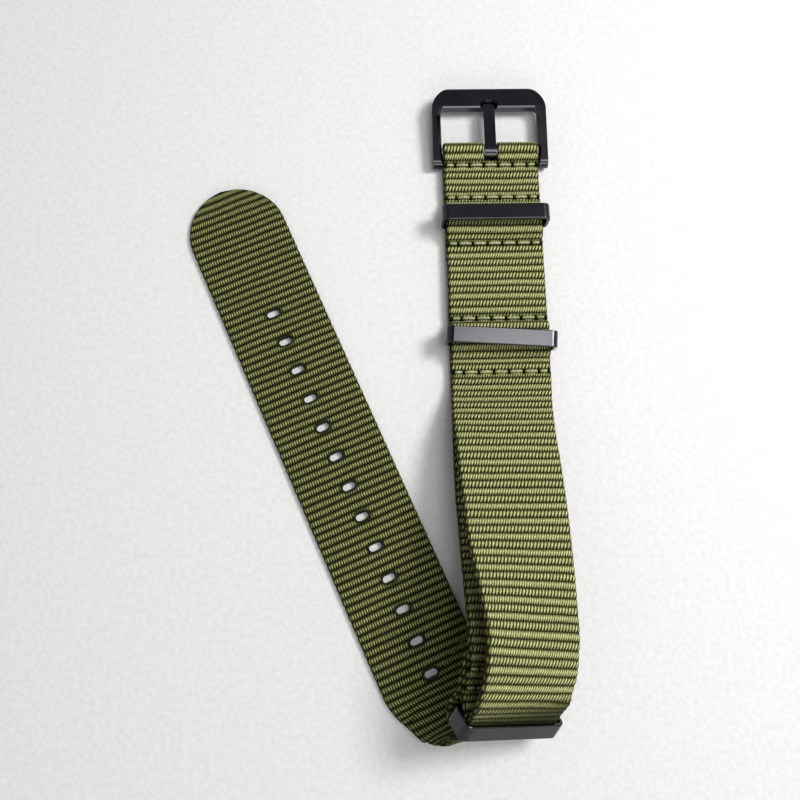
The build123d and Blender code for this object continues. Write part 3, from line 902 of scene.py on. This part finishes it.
def coated_material():
    material, tree, shader = new_material("Satin black coating")
    nodes = Nodes(tree)
    place = nodes.add("ShaderNodeTexCoord")
    cloud = nodes.noise(place.outputs["Object"], 140.0, 3.0, 0.55)
    speck = nodes.noise(place.outputs["Object"], 6000.0, 2.0, 0.5)
    colour = nodes.ramp(cloud, [(0.3, (0.045, 0.045, 0.05)), (0.75, (0.06, 0.06, 0.065))])
    nodes.link(colour, shader.inputs["Base Color"])
    nodes.link(nodes.blend(cloud, 0.18, 0.25), shader.inputs["Roughness"])
    shader.inputs["Metallic"].default_value = 1.0
    nodes.bump(speck, 0.12, 0.03, shader)
    return material


def bar_material():
    material, tree, shader = new_material("Turned bar steel")
    nodes = Nodes(tree)
    place = nodes.add("ShaderNodeTexCoord")
    stretch = nodes.add("ShaderNodeMapping")
    stretch.inputs["Scale"].default_value = (400.0, 9000.0, 9000.0)
    nodes.link(place.outputs["Object"], stretch.inputs["Vector"])
    lines = nodes.noise(stretch.outputs[0], 1.0, 2.0, 0.5)
    colour = nodes.ramp(lines, [(0.3, (0.38, 0.38, 0.39)), (0.7, (0.52, 0.52, 0.53))])
    nodes.link(colour, shader.inputs["Base Color"])
    nodes.link(nodes.blend(lines, 0.25, 0.4), shader.inputs["Roughness"])
    shader.inputs["Metallic"].default_value = 1.0
    return material


def give(piece, material):
    piece.data.materials.clear()
    piece.data.materials.append(material)


olive_webbing = webbing_material()
olive_thread = thread_material()
melted_edge = melted_material()
black_coat = coated_material()
bar_steel = bar_material()

# ---- The straps ----

long_route = Route(long_strap_path())
keeper_route = Route(keeper_strap_path())

long_strap = webbing_mesh("long_strap_webbing", long_route, tip=True)
keeper_strap = webbing_mesh("keeper_strap_webbing", keeper_route)
for strap, node, route in (
        (long_strap, "long_strap", long_route), (keeper_strap, "keeper_strap", keeper_route)):
    give(strap, olive_webbing)
    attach(strap, "webbing")
    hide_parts(node)

rims = hole_rims(long_route)
give(rims, melted_edge)
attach(rims, "webbing")

for seam in seam_names:
    for kind, side, rise in (("needle", 1, NEEDLE_THREAD_RISE), ("bobbin", -1, BOBBIN_THREAD_RISE)):
        stitches = stitch_row(f"{kind}_stitches_{seam}", seam, side, rise)
        give(stitches, olive_thread)
        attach(stitches, "webbing")
        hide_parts(f"{kind}_thread_{seam}")

# ---- Hardware, shown as built ----

coated_nodes = [
    "buckle_frame", "buckle_tongue", "keeper_ring_upper", "keeper_ring_lower", "strap_end_ring",
]
for node in coated_nodes:
    give(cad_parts[node], black_coat)
for node in ("spring_bar_barrel", "spring_bar_spring", "spring_bar_pin_left", "spring_bar_pin_right"):
    give(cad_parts[node], bar_steel)

# ---- Table, light and camera ----

def paper_material():
    material, tree, shader = new_material("Pebbled white paper")
    nodes = Nodes(tree)
    place = nodes.add("ShaderNodeTexCoord")
    pebble = nodes.noise(place.outputs["Object"], 900.0, 3.0, 0.55)
    colour = nodes.ramp(pebble, [(0.3, (0.575, 0.57, 0.56)), (0.7, (0.64, 0.635, 0.625))])
    nodes.link(colour, shader.inputs["Base Color"])
    shader.inputs["Roughness"].default_value = 0.9
    shader.inputs["Specular IOR Level"].default_value = 0.1
    nodes.bump(pebble, 0.25, 0.2, shader)
    return material


def table_top():
    bm = bmesh.new()
    bmesh.ops.create_grid(bm, x_segments=1, y_segments=1, size=TABLE_REACH)
    bmesh.ops.translate(bm, vec=(0, 0, -TABLE_DROP), verts=bm.verts)
    table = finished(bm, "table_top")
    table.data.materials.append(paper_material())


def soft_lamp(name, spot, target, size, power):
    lamp = bpy.data.lights.new(name, "AREA")
    lamp.shape = "DISK"
    lamp.size = size
    lamp.energy = power
    light = bpy.data.objects.new(name, lamp)
    light.location = spot
    light.rotation_euler = (Vector(target) - Vector(spot)).to_track_quat("-Z", "Y").to_euler()
    bpy.context.scene.collection.objects.link(light)


def room_light():
    """A soft room: light walls, a dimmer ceiling, one dark patch, a light patch and a window."""
    world = bpy.data.worlds.new("Studio")
    world.use_nodes = True
    nodes = Nodes(world.node_tree)
    sky = world.node_tree.nodes["Background"]
    direction = nodes.add("ShaderNodeTexCoord").outputs["Generated"]
    split = nodes.add("ShaderNodeSeparateXYZ")
    nodes.link(direction, split.inputs[0])
    walls = nodes.ramp(split.outputs[2], [
        (0.0, (0.6, 0.6, 0.62)), (0.35, (0.6, 0.6, 0.62)),
        (0.75, (0.25, 0.25, 0.265)), (1.0, (0.2, 0.2, 0.21))])

    def patch(spot, stops):
        nearness = nodes.add("ShaderNodeVectorMath", operation="DOT_PRODUCT")
        nodes.link(direction, nearness.inputs[0])
        nearness.inputs[1].default_value = spot
        return nodes.ramp(nearness.outputs["Value"], stops)

    def joined(operation, first, second):
        node = nodes.add("ShaderNodeVectorMath", operation=operation)
        nodes.link(first, node.inputs[0])
        nodes.link(second, node.inputs[1])
        return node.outputs[0]

    dark = patch(DARK_PATCH, [(0.94, (1, 1, 1)), (0.98, (0.8, 0.8, 1.0))])
    light = patch(LIGHT_PATCH, [(0.9885, (0, 0, 0)), (0.992, (2.9, 2.9, 2.7))])
    window = patch(WINDOW_PATCH, [(0.965, (0, 0, 0)), (0.98, (4.0, 4.0, 4.0))])
    lit = joined("ADD", light, window)
    nodes.link(joined("ADD", joined("MULTIPLY", walls, dark), lit), sky.inputs["Color"])
    bpy.context.scene.world = world


def photo_camera():
    lens = bpy.data.cameras.new("Camera")
    lens.sensor_width = SENSOR_WIDTH
    lens.lens = FOCAL_LENGTH
    lens.clip_start = 0.01
    lens.clip_end = 10.0
    camera = bpy.data.objects.new("Camera", lens)
    camera.location = Vector(CAMERA_SPOT) * MM
    camera.rotation_euler = Euler([radians(turn) for turn in CAMERA_TURNS])
    bpy.context.scene.collection.objects.link(camera)
    bpy.context.scene.camera = camera


table_top()
soft_lamp("Window light", (0.28, 0.1, 0.4), (0, 0, 0), 0.17, 2.4)
soft_lamp("Room light", (0.12, -0.05, 0.6), (0.03, -0.05, 0), 0.3, 1.1)
room_light()
photo_camera()
bpy.context.scene.view_settings.view_transform = "Standard"
